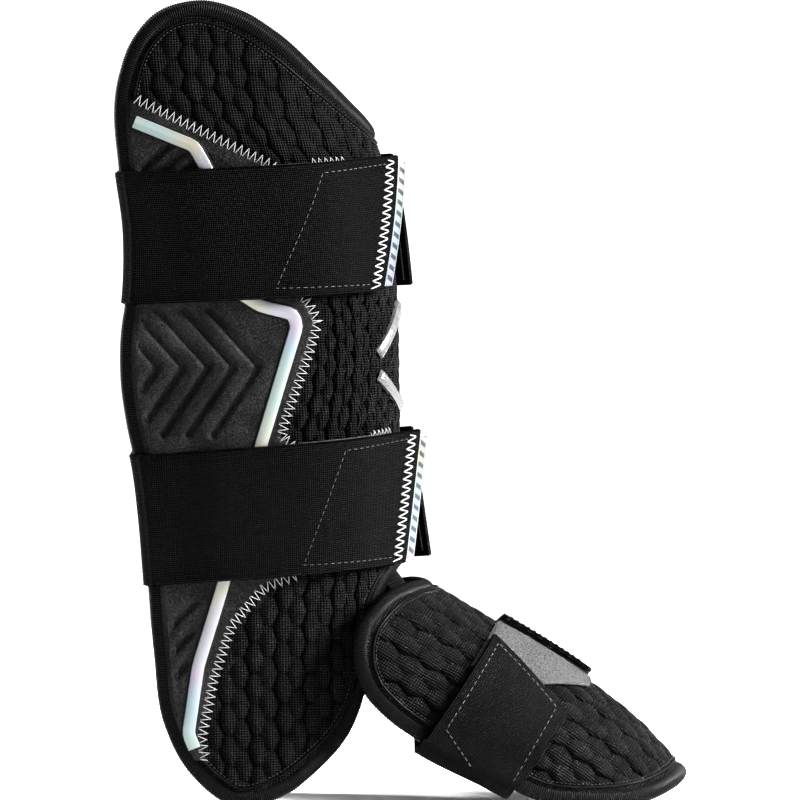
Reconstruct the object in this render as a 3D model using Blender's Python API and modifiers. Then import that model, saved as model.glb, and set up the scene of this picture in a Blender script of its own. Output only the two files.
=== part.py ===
"""Batter's leg guard: a U-shaped padded leg guard, open at the back, with an instep guard on a fabric hinge.

Frame: metres, +X to the toes, +Z up, -Y the near (outer) side. The origin is on the floor, under the middle
of the whole guard. Sizes below are millimetres and are scaled to metres when a mesh is made.
"""

import math

import bmesh
import bpy
import numpy as np
from mathutils import Matrix, Vector

MM = 0.001

# Leg guard, plan at each height: a half-elliptical nose and two arms that run back and taper inwards.
NOSE_DEPTH = 55.0
NOSE_ARC = 86.0  # length of the wall from the front line to the widest point
ARM_LENGTH = 90.0
ARM_TAPER = 0.19
FRONT_X = [(-20, 4), (60, 3), (118, 2), (200, 0), (250, -1), (320, -9), (345, -15), (410, -20)]
HALF_WIDTH = [(-20, 41), (20, 43), (60, 45), (110, 47), (180, 52), (260, 57), (330, 60), (410, 57)]

# Leg guard edge, near half, as (distance round the wall from the front line, height).
LEG_EDGE = [
    (0, 339), (24, 347), (45, 361), (74, 384.5), (92, 395), (113, 400), (132.5, 394.5), (145.5, 381),
    (153.5, 363), (159.5, 340), (163, 316), (163.5, 285), (166.5, 254), (170, 235), (170.5, 212), (168, 190),
    (163.5, 166), (161, 140), (159.5, 115), (157, 75), (152.5, 40), (139, 14.5), (114, -1.8), (92, 4.5), (74, 17.5),
    (57, 35), (47, 54), (42, 76), (35, 100), (20, 113), (0, 117),
]  # fmt: skip
REAR_TOP = (145.5, 381)
REAR_BOTTOM = (145, 28)

# Wall build-up, as depths below the outer face.
PAD = (0.0, 4.8)
SHELL = (5.2, 7.6)
LINER = (8.0, 10.4)
BINDING_RADIUS = 4.6
BINDING_DEPTH = 5.2
LAYER_INSET = 2 * BINDING_RADIUS + 1.4
SEAM_GAP = 0.4

# Seam between the quilted pad and the side panel, in side view (X, Z), from the knee wing down to the ankle wing.
SEAM = [
    (-160, 365), (-131, 351), (-61, 317), (-53, 258), (-46, 251), (-41, 241), (-45, 227), (-58, 190), (-59, 184),
    (-52, 178), (-38, 165), (-38, 128), (-52, 115), (-68, 109), (-84, 90), (-93, 63), (-99, 33), (-96, -30),
]  # fmt: skip
STRIPE = [
    (-131, 340), (-101.5, 328), (-94, 314), (-80, 256), (-69, 249), (-53, 245), (-51, 239), (-69, 179),
    (-88, 109), (-100, 70), (-105, 36), (-102, 28.5),
]  # fmt: skip
STRIPE_WIDTH = 6.2
STRIPE_THICKNESS = 0.8
BADGE_TOP = 252.0
BADGE_SIDE = (34.0, 219.0)
BADGE_BOTTOM = 192.0
BADGE_WIDTH = 6.0
BADGE_THICKNESS = 1.2
BADGE_START = 6.0  # distance of the bars from the middle of the shin
BADGE_GAP = (4.0, 5.0)  # how far each bar stops short of the diamond's corners

# Leg straps: width, height of the middle line at the front and at the back, and where each end stops.
STRAP_WIDTH = 64.0
STRAP_THICKNESS = 2.0
STRAP_ROWS = (-1, -0.5, 0, 0.5, 1)
STRAPS = {
    "upper": {"front_z": 290.0, "rear_z": 282.0, "lift": 47.8, "near_end": (14.5, 35.0), "far_end": (18.0, 16.0)},
    "lower": {"front_z": 154.5, "rear_z": 141.5, "lift": 43.0, "near_end": (12.0, 25.0), "far_end": (17.0, 8.0)},
}
PEEL_AT = 146.0  # distance round the wall of the line that a strap end peels back to
END_GAP = 1.0
PIVOT_PROUD = 0.4  # how far the peel line stands off the strap's outer face
PATCH = (0.3, 1.3)  # heights above the outer face
HOOK = (1.8, 2.8)
PATCH_Q = (30.0, 82.0)  # where a loop patch begins and ends round the wall
PATCH_SHARE = 0.94  # width of the patches as a share of the strap's
HOOK_AT = (3.0, 52.0)  # where a hook patch begins and ends, behind the strap's end
LABEL_REACH = (5.5, 0.4)  # how far the label's fold and its root stand in front of the strap's end
LABEL_LIFT = 0.3
LABEL_THICKNESS = 1.4
TAB_SLOPE = 30.0  # length over which a strap end rises onto its patches
TAB_RISE = 3.2
BAND_RISE = 1.2

# Instep guard: an arched shell along a sloping axis, t along it, h square to it, p round its section.
FOOT_ORIGIN = (15.0, 110.0)
FOOT_SLOPE = math.radians(34.57)
FOOT_ARC = 77.0
FOOT_RIDGE = [(-25, -2), (8, 0), (40, 2), (75, 4), (100, 4), (130, 1.5), (146, -2), (165, -6)]
FOOT_HALF_WIDTH = [(-25, 59), (10, 58), (50, 54), (100, 49), (135, 43), (165, 37)]
FOOT_DROP = [(-25, 49), (60, 49), (110, 47), (165, 42)]
FOOT_EDGE = [
    (0, -5), (22, -11.5), (34, -16), (46, -18.5), (60, -19), (76, -13), (89, 1), (95, 20), (96.5, 38), (95, 75),
    (90, 110), (75, 133.5), (53, 151.5), (30, 159.5), (0, 162),
]  # fmt: skip
HEEL_CORNER = (80, -9)
TOE_CORNER = (75, 133.5)
FOOT_STRAP = {"t": (41.0, 92.0), "near_end": (29.0, 48.0), "far_end": (-4.0, 4.0)}
FOOT_PEEL_AT = 80.0
FOOT_HOOK_AT = (2.5, 34.0)
FOOT_HOOK_CLEAR = 5.0  # between a hook patch and the peel line
FOOT_PATCH = {"p": 50.0, "t": (39.0, 96.0)}
CONNECTOR_Q = 34.0
CONNECTOR_Z = (112.0, 138.0)
CONNECTOR_DEPTH = 2.4
CONNECTOR_THICKNESS = 1.8


# ---------------------------------------------------------------- curves and surfaces


def curve(points, count, mirrored=False):
    """Evenly spaced points on a smooth curve through the given ones."""
    points = np.array(points, float)
    if mirrored:
        flip = np.array([-1.0, 1.0])
        points = np.vstack([points[2:0:-1] * flip, points, points[-2:-4:-1] * flip])
    chord = np.concatenate([[0], np.cumsum(np.linalg.norm(np.diff(points, axis=0), axis=1))])
    slope = np.gradient(points, chord, axis=0)
    first, last = (2, len(points) - 3) if mirrored else (0, len(points) - 1)
    at = np.linspace(chord[first], chord[last], 1200)
    i = np.clip(np.searchsorted(chord, at, side="right") - 1, 0, len(chord) - 2)
    span = (chord[i + 1] - chord[i])[:, None]
    u = ((at - chord[i])[:, None]) / span
    fine = (
        (2 * u**3 - 3 * u**2 + 1) * points[i]
        + (u**3 - 2 * u**2 + u) * span * slope[i]
        + (3 * u**2 - 2 * u**3) * points[i + 1]
        + (u**3 - u**2) * span * slope[i + 1]
    )
    return even(fine, count)


def even(path, count):
    along = np.concatenate([[0], np.cumsum(np.linalg.norm(np.diff(path, axis=0), axis=1))])
    at = np.linspace(0, along[-1], count)
    return np.stack([np.interp(at, along, path[:, k]) for k in range(path.shape[1])], axis=1)


def table(values, x):
    """A smooth reading of a short table."""
    values = np.array(values, float)
    x = np.clip(x, values[0, 0], values[-1, 0])
    slope = np.gradient(values[:, 1], values[:, 0])
    i = np.clip(np.searchsorted(values[:, 0], x, side="right") - 1, 0, len(values) - 2)
    span = values[i + 1, 0] - values[i, 0]
    u = (x - values[i, 0]) / span
    return (
        (2 * u**3 - 3 * u**2 + 1) * values[i, 1]
        + (u**3 - 2 * u**2 + u) * span * slope[i]
        + (3 * u**2 - 2 * u**3) * values[i + 1, 1]
        + (u**3 - u**2) * span * slope[i + 1]
    )


def leg_surface(q, z):
    """Outer face of the leg guard; q > 0 is the near side."""
    q, z = np.broadcast_arrays(np.asarray(q, float), np.asarray(z, float))
    middle = table(FRONT_X, z) - NOSE_DEPTH
    width = table(HALF_WIDTH, z)
    along = np.abs(q)
    angle = np.minimum(along / NOSE_ARC, 1) * math.pi / 2
    back = np.maximum(along - NOSE_ARC, 0)
    x = middle + NOSE_DEPTH * np.cos(angle) - back
    y = -np.sign(q) * width * np.sin(angle) * (1 - ARM_TAPER * (back / ARM_LENGTH) ** 2)
    return np.stack([x, y, z], axis=-1)


def foot_surface(p, t):
    """Outer face of the instep guard; p > 0 is the near side."""
    p, t = np.broadcast_arrays(np.asarray(p, float), np.asarray(t, float))
    along = np.abs(p)
    angle = np.minimum(along / FOOT_ARC, 1) * math.pi / 2
    down = np.maximum(along - FOOT_ARC, 0)
    h = table(FOOT_RIDGE, t) - table(FOOT_DROP, t) * (1 - np.cos(angle)) - down
    y = -np.sign(p) * table(FOOT_HALF_WIDTH, t) * np.sin(angle)
    x = FOOT_ORIGIN[0] + t * math.cos(FOOT_SLOPE) + h * math.sin(FOOT_SLOPE)
    z = FOOT_ORIGIN[1] - t * math.sin(FOOT_SLOPE) + h * math.cos(FOOT_SLOPE)
    return np.stack([x, y, z], axis=-1)


def raised(surface, a, b, rise):
    """Points `rise` above a surface, along its outward normal."""
    step = 0.5
    across = surface(a + step, b) - surface(a - step, b)
    up = surface(a, b + step) - surface(a, b - step)
    normal = np.cross(up, across) * (1 if surface is leg_surface else -1)
    normal /= np.linalg.norm(normal, axis=-1, keepdims=True)
    return surface(a, b) + normal * np.asarray(rise, float)[..., None]


def side_to_wall(x, z):
    """Distance round the near wall of a point given in side view."""
    middle = table(FRONT_X, z) - NOSE_DEPTH
    nose = np.arccos(np.clip((x - middle) / NOSE_DEPTH, 0, 1)) / (math.pi / 2) * NOSE_ARC
    return np.where(x > middle, nose, NOSE_ARC + middle - x)


def edge_path(edge, inset, count):
    """Half of an outline, moved inwards by `inset`."""
    path = curve(edge, 900, mirrored=True)
    ahead = np.gradient(path, axis=0)
    ahead /= np.linalg.norm(ahead, axis=1, keepdims=True)
    inward = np.stack([-ahead[:, 1], ahead[:, 0]], axis=1)
    if edge is LEG_EDGE:
        inward = -inward
    path = path + inward * inset
    path[0, 0] = path[-1, 0] = 0
    return even(path[path[:, 0] >= -1e-6], count)


def patch_grid(edge, inset, corners, across, up):
    """A grid inside half of an outline: columns start on the middle line, rows join the two ends of it."""
    path = edge_path(edge, inset, 900)
    cuts = [int(np.argmin(np.linalg.norm(path - np.array(corner), axis=1))) for corner in corners]
    first = even(path[: cuts[0] + 1], across + 1)
    outer = even(path[cuts[0] : cuts[1] + 1], up + 1)
    last = even(path[cuts[1] :][::-1], across + 1)
    middle = even(np.array([path[0], path[-1]]), up + 1)
    u = np.linspace(0, 1, across + 1)[:, None, None]
    v = np.linspace(0, 1, up + 1)[None, :, None]
    ends = (1 - u) * ((1 - v) * first[0] + v * last[0]) + u * ((1 - v) * first[-1] + v * last[-1])
    return (1 - v) * first[:, None] + v * last[:, None] + (1 - u) * middle[None] + u * outer[None] - ends


# ---------------------------------------------------------------- objects


def collection(name):
    made = bpy.data.collections.new(name)
    bpy.context.scene.collection.children.link(made)
    return made


def material(name, colour, roughness):
    made = bpy.data.materials.new(name)
    made.use_nodes = True
    shader = made.node_tree.nodes["Principled BSDF"]
    shader.inputs["Base Color"].default_value = (*colour, 1)
    shader.inputs["Roughness"].default_value = roughness
    shader.inputs["Metallic"].default_value = 0
    return made


def add_object(name, mesh, colour, roughness=0.9, pivot=(0, 0, 0), into=None):
    """Links a mesh given in millimetres as an object in metres, with its origin at `pivot`."""
    mesh.transform(Matrix.Translation(-Vector(pivot)))
    mesh.transform(Matrix.Scale(MM, 4))
    mesh.materials.append(material(name, colour, roughness))
    made = bpy.data.objects.new(name, mesh)
    made.location = Vector(pivot) * MM
    (into or PARTS).objects.link(made)
    mesh.shade_smooth()
    mesh.set_sharp_from_angle(angle=math.radians(35))
    return made


def grid_mesh(name, points, flip=False):
    """A mesh over a grid of points, with its outer side to the left of the first direction."""
    points = np.asarray(points)
    rows, columns = points.shape[:2]
    shape = bmesh.new()
    verts = [[shape.verts.new(points[i, j]) for j in range(columns)] for i in range(rows)]
    for i in range(rows - 1):
        for j in range(columns - 1):
            corners = [verts[i][j], verts[i][j + 1], verts[i + 1][j + 1], verts[i + 1][j]]
            shape.faces.new(corners[::-1] if flip else corners)
    mesh = bpy.data.meshes.new(name)
    shape.to_mesh(mesh)
    shape.free()
    return mesh


def thicken(piece, thickness, outwards=False):
    solid = piece.modifiers.new("Thickness", "SOLIDIFY")
    solid.thickness = thickness * MM
    solid.offset = 1 if outwards else -1
    solid.use_even_offset = True
    return piece


def cut(piece, cutter, operation="DIFFERENCE"):
    boolean = piece.modifiers.new(cutter.name, "BOOLEAN")
    boolean.object = cutter
    boolean.operation = operation
    boolean.solver = "EXACT"


def add_cutter(name, mesh):
    made = add_object(name, mesh, (1, 0, 0), into=CUTTERS)
    made.hide_render = True
    made.display_type = "WIRE"
    return made


def prism(name, outline, low_y, high_y):
    """A cutter: an outline in side view, carried across from low_y to high_y."""
    shape = bmesh.new()
    face = shape.faces.new([shape.verts.new((x, low_y, z)) for x, z in outline])
    carried = bmesh.ops.extrude_face_region(shape, geom=[face])["geom"]
    moved = [item for item in carried if isinstance(item, bmesh.types.BMVert)]
    bmesh.ops.translate(shape, verts=moved, vec=(0, high_y - low_y, 0))
    bmesh.ops.recalc_face_normals(shape, faces=shape.faces)
    mesh = bpy.data.meshes.new(name)
    shape.to_mesh(mesh)
    shape.free()
    return add_cutter(name, mesh)


def layer(name, surface, grid, depths, colour):
    """One layer of a wall: half of it on the grid, mirrored, and thickened inwards."""
    points = raised(surface, grid[..., 0], grid[..., 1], -depths[0])
    points[0, :, 1] = 0
    piece = add_object(name, grid_mesh(name, points, flip=True), colour)
    mirror = piece.modifiers.new("Far side", "MIRROR")
    mirror.use_axis = (False, True, False)
    mirror.merge_threshold = 0.0001
    return thicken(piece, depths[1] - depths[0])


def tube(name, points, radius, colour):
    """A closed bead along points, as a mesh, so that it can be cut."""
    data = bpy.data.curves.new(name, "CURVE")
    data.dimensions = "3D"
    data.bevel_depth = radius * MM
    data.bevel_resolution = 2
    spline = data.splines.new("POLY")
    spline.points.add(len(points) - 1)
    for point, place in zip(spline.points, points):
        point.co = (*(place * MM), 1)
    spline.use_cyclic_u = True
    guide = bpy.data.objects.new(name, data)
    CUTTERS.objects.link(guide)
    graph = bpy.context.evaluated_depsgraph_get()
    mesh = bpy.data.meshes.new_from_object(guide.evaluated_get(graph))
    bpy.data.objects.remove(guide)
    mesh.transform(Matrix.Scale(1 / MM, 4))
    return add_object(name, mesh, colour)


def both_sides(half):
    """A closed loop from half of one that starts and ends on the middle plane."""
    return np.vstack([half, half[-2:0:-1] * np.array([1, -1, 1])])


def sheet(name, points, thickness, colour, flip=False, pivot=(0, 0, 0)):
    """A thin piece on a grid of points, thickened outwards."""
    return thicken(add_object(name, grid_mesh(name, points, flip), colour, pivot=pivot), thickness, True)


# ---------------------------------------------------------------- leg guard

BLACK = (0.012, 0.012, 0.013)
SHELL_BLACK = (0.02, 0.02, 0.02)
CHARCOAL = (0.035, 0.036, 0.038)
GREY = (0.25, 0.25, 0.26)
PEARL = (0.75, 0.75, 0.78)


def offset_line(line, gap):
    """A line in side view moved forwards by `gap`, square to itself."""
    ahead = np.gradient(line, axis=0)
    ahead /= np.linalg.norm(ahead, axis=1, keepdims=True)
    return line + np.stack([-ahead[:, 1], ahead[:, 0]], axis=1) * gap


def panel_prism(name, gap, side):
    seam = offset_line(np.array(SEAM, float), gap)
    outline = [*seam, (-200, -30), (-200, 365)]
    low, high = sorted((side * 5.0, side * 100.0))
    return prism(name, outline, low, high)


def build_leg_wall(floor):
    grid = patch_grid(LEG_EDGE, LAYER_INSET, (REAR_TOP, REAR_BOTTOM), 14, 15)
    layer("leg_hard_shell", leg_surface, grid, SHELL, SHELL_BLACK)
    layer("leg_inner_liner", leg_surface, grid, LINER, CHARCOAL)
    pad = layer("leg_front_pad", leg_surface, grid, PAD, BLACK)
    for name, side in (("near", -1), ("far", 1)):
        panel = layer(f"leg_side_panel_{name}", leg_surface, grid, PAD, CHARCOAL)
        cut(panel, panel_prism(f"panel_outline_{name}", -SEAM_GAP / 2, side), "INTERSECT")
        cut(pad, panel_prism(f"pad_opening_{name}", SEAM_GAP / 2, side))
    half = edge_path(LEG_EDGE, BINDING_RADIUS, 44)
    points = raised(leg_surface, half[:, 0], half[:, 1], -BINDING_DEPTH)
    points[[0, -1], 1] = 0
    cut(tube("leg_edge_binding", both_sides(points), BINDING_RADIUS, CHARCOAL), floor)


def build_stripes():
    line = even(np.array(STRIPE, float), 44)
    ahead = np.gradient(line, axis=0)
    ahead /= np.linalg.norm(ahead, axis=1, keepdims=True)
    square = np.stack([-ahead[:, 1], ahead[:, 0]], axis=1)
    for name, side in (("near", 1), ("far", -1)):
        rows = []
        for reach in (-STRIPE_WIDTH / 2, STRIPE_WIDTH / 2):
            at = line + square * reach
            rows.append(raised(leg_surface, side_to_wall(at[:, 0], at[:, 1]) * side, at[:, 1], PATCH[0]))
        sheet(f"stripe_{name}", rows, STRIPE_THICKNESS, PEARL, flip=side < 0)


def wall_bar(ends, width, side):
    """A slanted bar on the shin, as a grid on the wall."""
    line = even(np.array(ends, float), 5)
    square = line[-1] - line[0]
    square = np.array([-square[1], square[0]]) / np.linalg.norm(square) * width / 2
    rows = [line + square, line - square]
    return [raised(leg_surface, row[:, 0] * side, row[:, 1], PATCH[0]) for row in rows]


def build_badges():
    """Four plain bars that mark the corners of an open diamond on the shin."""
    side_q, side_z = BADGE_SIDE
    inner, outer = BADGE_GAP
    ends = {
        "upper": ((BADGE_START, BADGE_TOP - inner), (side_q, side_z + outer)),
        "lower": ((side_q, side_z - outer), (BADGE_START, BADGE_BOTTOM + inner)),
    }
    for name, line in ends.items():
        for side_name, side in (("near", 1), ("far", -1)):
            bar = wall_bar(line, BADGE_WIDTH, side)
            sheet(f"front_badge_{name}_{side_name}", bar, BADGE_THICKNESS, PEARL, flip=side < 0)


def build_ankle_connector():
    """The fabric inside the shin wall that carries the instep guard."""
    q, z = np.meshgrid(np.linspace(-CONNECTOR_Q, CONNECTOR_Q, 13), np.linspace(*CONNECTOR_Z, 4), indexing="ij")
    points = raised(leg_surface, q, z, -(LINER[1] + CONNECTOR_DEPTH))
    sheet("ankle_connector", points, CONNECTOR_THICKNESS, BLACK)


# ---------------------------------------------------------------- leg straps


def strap_wall(q, z, rise, lift):
    """A point on a strap along one side: on the wall, and straight off it in front of `lift`."""
    side = -1.0 if q < 0 else 1.0
    on = raised(leg_surface, np.array(side * max(abs(q), lift)), np.array(z), np.array(rise))
    if abs(q) >= lift:
        return on
    behind = raised(leg_surface, np.array(side * (lift + 0.5)), np.array(z), np.array(rise))
    ahead = (on - behind) / np.linalg.norm(on - behind)
    return on + ahead * (lift - abs(q))


def strap_height(strap, q, across):
    """Height of the strap at distance q round the wall; across runs from -1, lower edge, to 1."""
    share = min(abs(q), 168.0) / 168.0
    return strap["front_z"] + (strap["rear_z"] - strap["front_z"]) * share + across * STRAP_WIDTH / 2


def rear_binding(z):
    """Distance round the wall of the binding's middle line, on the rear edge at height z."""
    path = edge_path(LEG_EDGE, BINDING_RADIUS, 300)
    rear = path[(path[:, 0] > 140) & (path[:, 1] > 30) & (path[:, 1] < 375)]
    return np.interp(z, rear[::-1, 1], rear[::-1, 0])


def strap_back(strap, across, rise):
    """The band's line round the near rear edge to the middle of the back."""
    z = strap["rear_z"] + across * STRAP_WIDTH / 2
    q_end = rear_binding(z)
    points = [
        strap_wall(q, strap_height(strap, q, across), rise, 0)
        for q in np.linspace(PEEL_AT + END_GAP / 2, q_end, 3)
    ]
    centre = raised(leg_surface, np.array(q_end), np.array(z), np.array(-BINDING_DEPTH))
    start = points[-1] - centre
    radius = np.linalg.norm(start)
    begin = math.atan2(start[1], start[0])
    for turn in np.linspace(begin, -math.pi, 6)[1:]:
        points.append(centre + radius * np.array([math.cos(turn), math.sin(turn), 0]))
    points.append(points[-1] * np.array([1, 0.5, 1]))
    points.append(points[-1] * np.array([1, 0, 1]))
    return np.array(points)


def build_leg_strap(name, strap):
    rows = []
    for across in STRAP_ROWS:
        near = strap_back(strap, across, BAND_RISE)
        rows.append(np.vstack([near, near[-2::-1] * np.array([1, -1, 1])]))
    sheet(f"{name}_strap_band", rows, STRAP_THICKNESS, BLACK, flip=True)
    for side_name, side in (("near", 1), ("far", -1)):
        build_tab(name, strap, side_name, side)
        build_loop_patch(name, strap, side_name, side)


def peel_pivot(strap, side):
    """The line that a strap end turns on: upright, on the strap's outer face."""
    rise = BAND_RISE + STRAP_THICKNESS + PIVOT_PROUD
    at = strap_wall(PEEL_AT * side, strap_height(strap, PEEL_AT, 0), rise, 0)
    return tuple(at)


def tab_rise(q):
    """The strap rises off the wall where hook and loop patches lie between them."""
    share = np.clip((PEEL_AT - abs(q)) / TAB_SLOPE, 0, 1)
    return BAND_RISE + (TAB_RISE - BAND_RISE) * share


def build_tab(name, strap, side_name, side):
    top_end, bottom_end = strap[f"{side_name}_end"]
    pivot = peel_pivot(strap, side)
    rows, hooks = [], []
    for across in STRAP_ROWS:
        end = bottom_end + (top_end - bottom_end) * (across + 1) / 2
        along = np.linspace(end, PEEL_AT - END_GAP / 2, 15)
        rows.append(tab_row(strap, along * side, across, tab_rise))
        along = np.linspace(end + HOOK_AT[0], end + HOOK_AT[1], 9)
        hooks.append(tab_row(strap, along * side, across * PATCH_SHARE, lambda q: HOOK[0]))
    sheet(f"{name}_strap_{side_name}_tab", rows, STRAP_THICKNESS, BLACK, side > 0, pivot)
    hook_thickness = HOOK[1] - HOOK[0]
    sheet(f"{name}_strap_{side_name}_hook", hooks, hook_thickness, CHARCOAL, side > 0, pivot)
    if side_name == "near":
        build_label(name, strap, pivot)


def tab_row(strap, qs, across, rise):
    return np.array([strap_wall(q, strap_height(strap, q, across), rise(q), strap["lift"]) for q in qs])


def build_label(name, strap, pivot):
    """The folded tab that stands out of the near end of a strap."""
    top_end, bottom_end = strap["near_end"]
    rows = []
    for across in np.multiply(STRAP_ROWS, PATCH_SHARE):
        end = bottom_end + (top_end - bottom_end) * (across + 1) / 2
        along = np.linspace(end - LABEL_REACH[0], end - LABEL_REACH[1], 3)
        rows.append(tab_row(strap, along, across, lambda q: TAB_RISE + LABEL_LIFT))
    sheet(f"{name}_strap_label", rows, LABEL_THICKNESS, PEARL, True, pivot)


def build_loop_patch(name, strap, side_name, side):
    """Loop pile sewn on the pad under a strap end."""
    rows = []
    for across in np.multiply(STRAP_ROWS, PATCH_SHARE):
        qs = np.linspace(*PATCH_Q, 9) * side
        z = np.array([strap_height(strap, q, across) for q in qs])
        rows.append(raised(leg_surface, qs, z, PATCH[0]))
    sheet(f"{name}_loop_patch_{side_name}", rows, PATCH[1] - PATCH[0], GREY, side > 0)


# ---------------------------------------------------------------- instep guard


def build_foot_wall(floor):
    grid = patch_grid(FOOT_EDGE, LAYER_INSET, (HEEL_CORNER, TOE_CORNER), 8, 10)
    layer("foot_pad", foot_surface, grid, PAD, BLACK)
    layer("foot_hard_shell", foot_surface, grid, SHELL, SHELL_BLACK)
    layer("foot_inner_liner", foot_surface, grid, LINER, CHARCOAL)
    half = edge_path(FOOT_EDGE, BINDING_RADIUS, 30)
    points = raised(foot_surface, half[:, 0], half[:, 1], -BINDING_DEPTH)
    points[[0, -1], 1] = 0
    cut(tube("foot_edge_binding", both_sides(points), BINDING_RADIUS, CHARCOAL), floor)


def foot_wrap(t, rise, side):
    """The instep strap's line from the peel line round the lower edge to the middle of the sole."""
    edge = edge_path(FOOT_EDGE, BINDING_RADIUS, 300)
    low = edge[(edge[:, 0] > 85) & (edge[:, 1] > 5) & (edge[:, 1] < 105)]
    p_end = np.interp(t, low[:, 1], low[:, 0])
    points = [
        raised(foot_surface, np.array(p), np.array(t), np.array(rise))
        for p in np.linspace(FOOT_PEEL_AT + END_GAP / 2, p_end, 3)
    ]
    centre = raised(foot_surface, np.array(p_end), np.array(t), np.array(-BINDING_DEPTH))
    down = np.array([-math.sin(FOOT_SLOPE), 0, -math.cos(FOOT_SLOPE)])
    outward = np.array([0, -1, 0])
    radius = BINDING_DEPTH + rise
    for turn in np.linspace(0, math.pi / 2, 5)[1:]:
        points.append(centre + radius * (outward * math.cos(turn) + down * math.sin(turn)))
    points.append(points[-1] * np.array([1, 0.5, 1]))
    points.append(points[-1] * np.array([1, 0, 1]))
    return np.array(points) * np.array([1, side, 1])


def build_foot_strap():
    t_low, t_high = FOOT_STRAP["t"]
    ts = np.linspace(t_low, t_high, 5)
    rows = []
    for t in ts:
        near = foot_wrap(t, TAB_RISE, 1)
        rows.append(np.vstack([near, near[-2::-1] * np.array([1, -1, 1])]))
    sheet("foot_strap_band", rows, STRAP_THICKNESS, BLACK, flip=False)
    for side_name, side in (("near", 1), ("far", -1)):
        middle = np.array((t_low + t_high) / 2)
        outer = np.array(TAB_RISE + STRAP_THICKNESS + PIVOT_PROUD)
        pivot = tuple(raised(foot_surface, np.array(FOOT_PEEL_AT * side), middle, outer))
        first, last = FOOT_STRAP[f"{side_name}_end"]
        tab, hook = [], []
        for t in ts:
            end = first + (last - first) * (t - t_low) / (t_high - t_low)
            along = np.linspace(end, FOOT_PEEL_AT - END_GAP / 2, 11)
            tab.append(raised(foot_surface, along * side, np.full(11, t), np.full(11, TAB_RISE)))
            inside = middle + (t - middle) * PATCH_SHARE
            stop = min(end + FOOT_HOOK_AT[1], FOOT_PEEL_AT - FOOT_HOOK_CLEAR)
            along = np.linspace(end + FOOT_HOOK_AT[0], stop, 6)
            hook.append(raised(foot_surface, along * side, np.full(6, inside), HOOK[0]))
        sheet(f"foot_strap_{side_name}_tab", tab, STRAP_THICKNESS, BLACK, side < 0, pivot)
        sheet(f"foot_strap_{side_name}_hook", hook, HOOK[1] - HOOK[0], CHARCOAL, side < 0, pivot)
    reach = FOOT_PATCH["p"]
    p, t = np.meshgrid(np.linspace(-reach, reach, 13), np.linspace(*FOOT_PATCH["t"], 7), indexing="ij")
    patch = raised(foot_surface, p, t, PATCH[0])
    sheet("foot_loop_patch", patch, PATCH[1] - PATCH[0], GREY, flip=True)


PARTS = None
CUTTERS = None


def main():
    global PARTS, CUTTERS
    for old in list(bpy.data.objects):
        bpy.data.objects.remove(old)
    PARTS = collection("leg_guard")
    CUTTERS = collection("cutters")
    floor = prism("floor", [(-200, -30), (200, -30), (200, 0), (-200, 0)], -100, 100)
    build_leg_wall(floor)
    build_stripes()
    build_badges()
    build_ankle_connector()
    for name, strap in STRAPS.items():
        build_leg_strap(name, strap)
    build_foot_wall(floor)
    build_foot_strap()


main()
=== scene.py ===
"""Looks of the batter's leg guard: quilted pads, grooved side panels, ribbed tape, woven straps, stitching.

Lengths inside the helpers are millimetres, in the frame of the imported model; meshes are made in metres.
"""

import math
from functools import partialmethod

import bpy
import numpy as np
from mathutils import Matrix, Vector
from mathutils.kdtree import KDTree


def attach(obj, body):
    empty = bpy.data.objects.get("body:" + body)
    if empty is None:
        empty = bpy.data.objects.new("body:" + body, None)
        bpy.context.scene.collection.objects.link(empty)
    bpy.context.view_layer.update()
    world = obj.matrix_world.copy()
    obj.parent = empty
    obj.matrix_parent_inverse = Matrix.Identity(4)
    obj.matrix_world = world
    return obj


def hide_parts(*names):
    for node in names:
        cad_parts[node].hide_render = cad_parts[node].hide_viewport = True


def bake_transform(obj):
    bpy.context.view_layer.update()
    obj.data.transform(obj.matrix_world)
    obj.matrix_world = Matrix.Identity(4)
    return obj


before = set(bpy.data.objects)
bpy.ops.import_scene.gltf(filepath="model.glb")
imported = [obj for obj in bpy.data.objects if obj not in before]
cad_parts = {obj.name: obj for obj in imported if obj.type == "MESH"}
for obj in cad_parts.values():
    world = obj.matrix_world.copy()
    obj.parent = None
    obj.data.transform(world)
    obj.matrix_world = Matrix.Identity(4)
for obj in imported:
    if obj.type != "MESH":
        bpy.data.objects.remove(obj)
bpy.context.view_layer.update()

MM = 0.001
SIDES = (("near", 1), ("far", -1))
MIRROR = np.array([-1.0, 1.0])

# ---- the wall, as the CAD model has it

LEG_AXIS = np.array([-60.0, 0.0, 0.0])
NOSE_DEPTH = 55.0
NOSE_ARC = 86.0
ARM_LENGTH = 90.0
ARM_TAPER = 0.19
FRONT_X = [(-20, 4), (60, 3), (118, 2), (200, 0), (250, -1), (320, -9), (345, -15), (410, -20)]
HALF_WIDTH = [(-20, 41), (20, 43), (60, 45), (110, 47), (180, 52), (260, 57), (330, 60), (410, 57)]
LEG_EDGE = [
    (0, 339), (24, 347), (45, 361), (74, 384.5), (92, 395), (113, 400), (132.5, 394.5), (145.5, 381),
    (153.5, 363), (159.5, 340), (163, 316), (163.5, 285), (166.5, 254), (170, 235), (170.5, 212),
    (168, 190), (163.5, 166), (161, 140), (159.5, 115), (157, 75), (152.5, 40), (139, 14.5), (114, -1.8),
    (92, 4.5), (74, 17.5), (57, 35), (47, 54), (42, 76), (35, 100), (20, 113), (0, 117),
]
REAR_TOP = (145.5, 381)
REAR_BOTTOM = (145, 28)
PAD_DEPTH = 4.8
PAD_THINNED = 1.8
PAD_INSET = 7.6
FAINT_GROOVE = 0.3
DEEP_GROOVE = 0.8
DOME = 2.6
DOME_POWER = 2.4
LINER = (8.0, 10.4)
LINER_INSET = 7.8
BINDING_RADIUS = 4.6
BINDING_DEPTH = 5.2
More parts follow.
